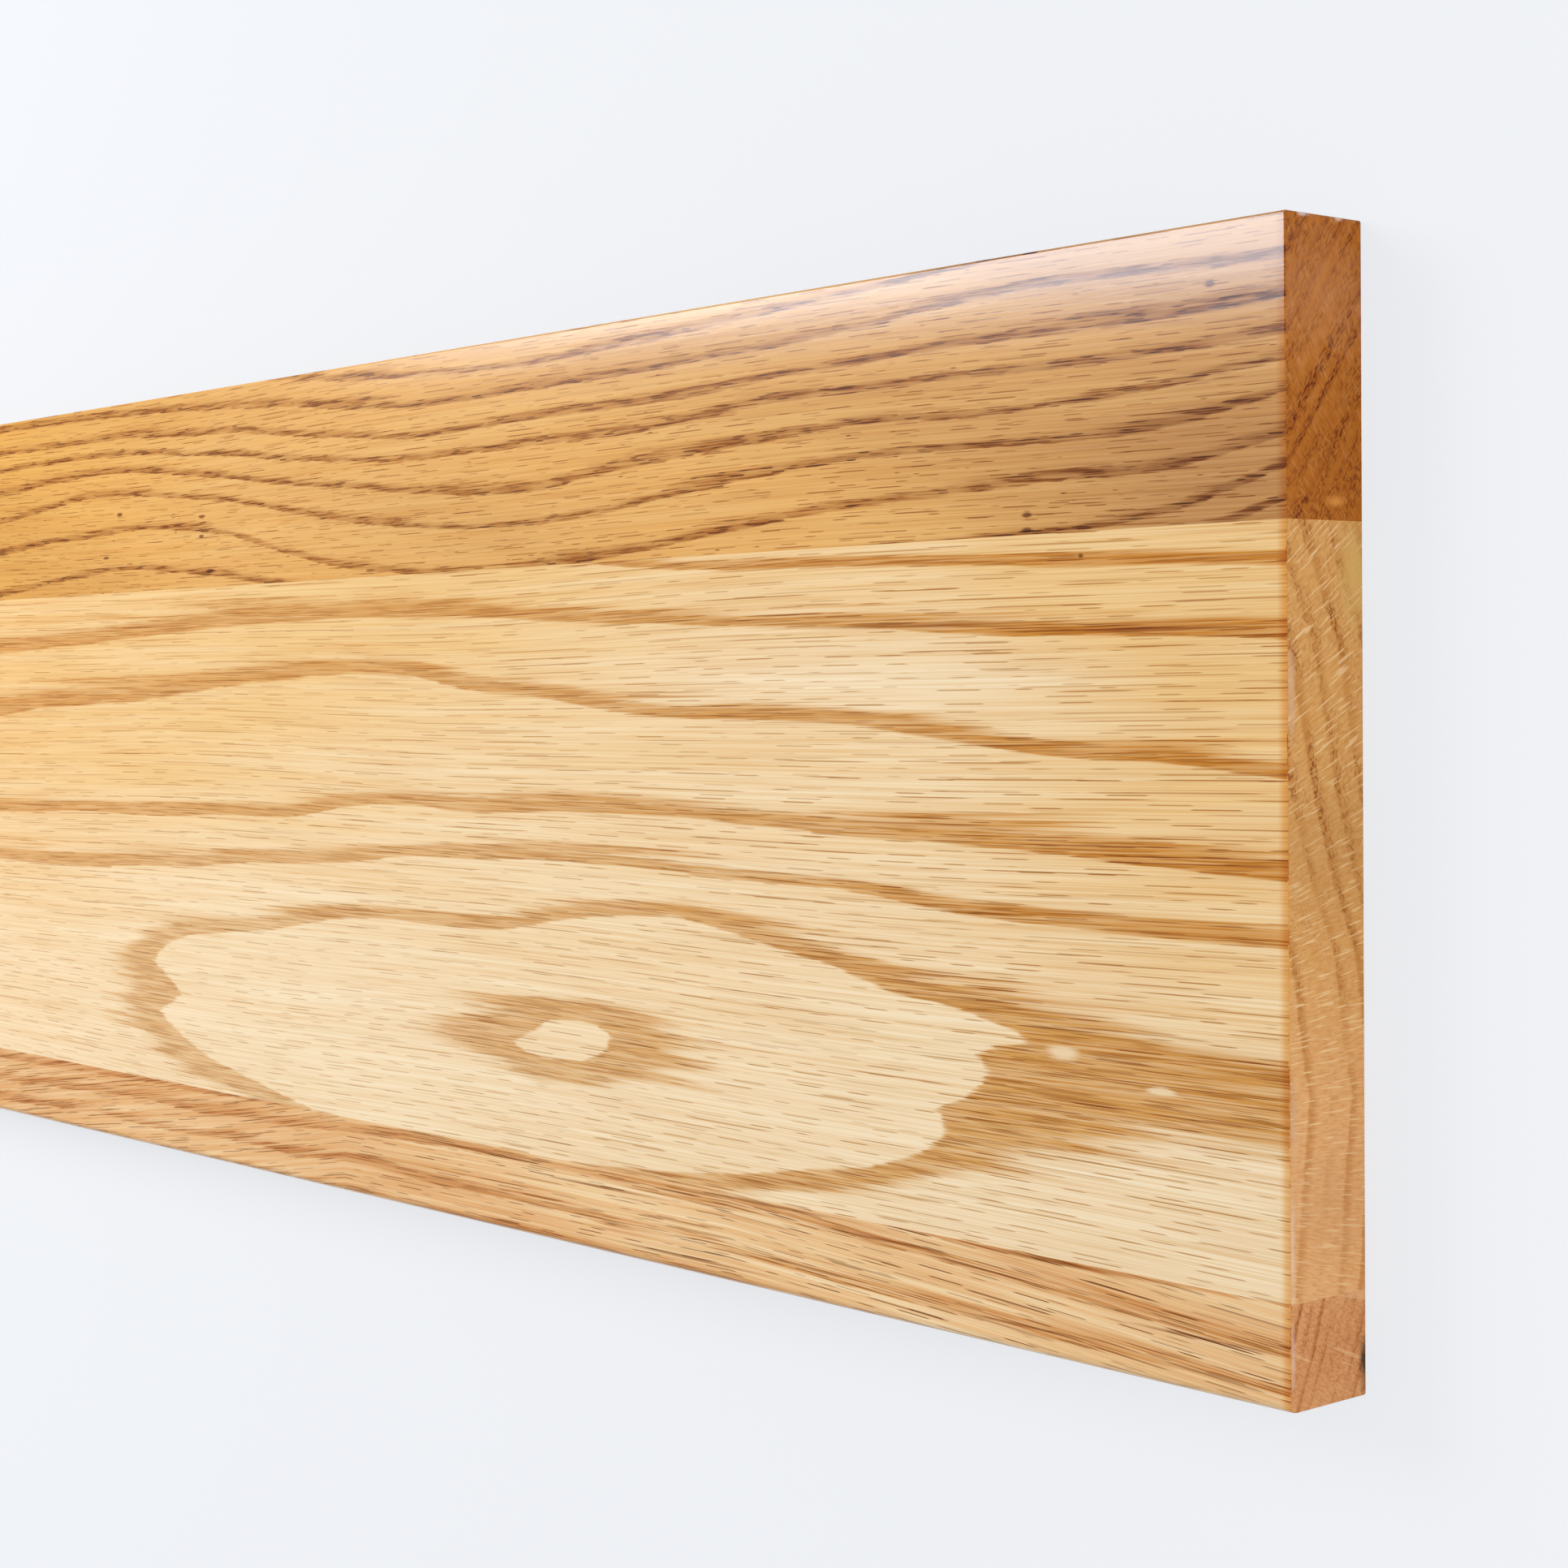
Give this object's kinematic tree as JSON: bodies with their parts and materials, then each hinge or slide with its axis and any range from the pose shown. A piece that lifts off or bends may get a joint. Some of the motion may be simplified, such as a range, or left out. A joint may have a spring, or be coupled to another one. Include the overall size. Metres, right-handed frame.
{
  "type": "stair riser board",
  "caption": "Flat solid oak board, edge-glued from staves and clear-lacquered, that closes the upright gap from one stair tread to the next.",
  "frame": {"origin": "middle of the back face, which the board lies on", "axes": "+X along the length, +Y across the width towards the upper edge when fitted, +Z out of the show face"},
  "size_m": [1.0668, 0.1906, 0.0191],
  "materials": {
    "upper_oak": "red oak, close darker rings, clear satin lacquer",
    "middle_oak": "red oak, pale flat-sawn cathedral grain, clear satin lacquer",
    "lower_oak": "red oak, orange streaky grain, clear satin lacquer"
  },
  "bodies": {
    "root": {"upper_stave": "upper_oak", "middle_stave": "middle_oak", "lower_stave": "lower_oak"}
  },
  "joints": []
}
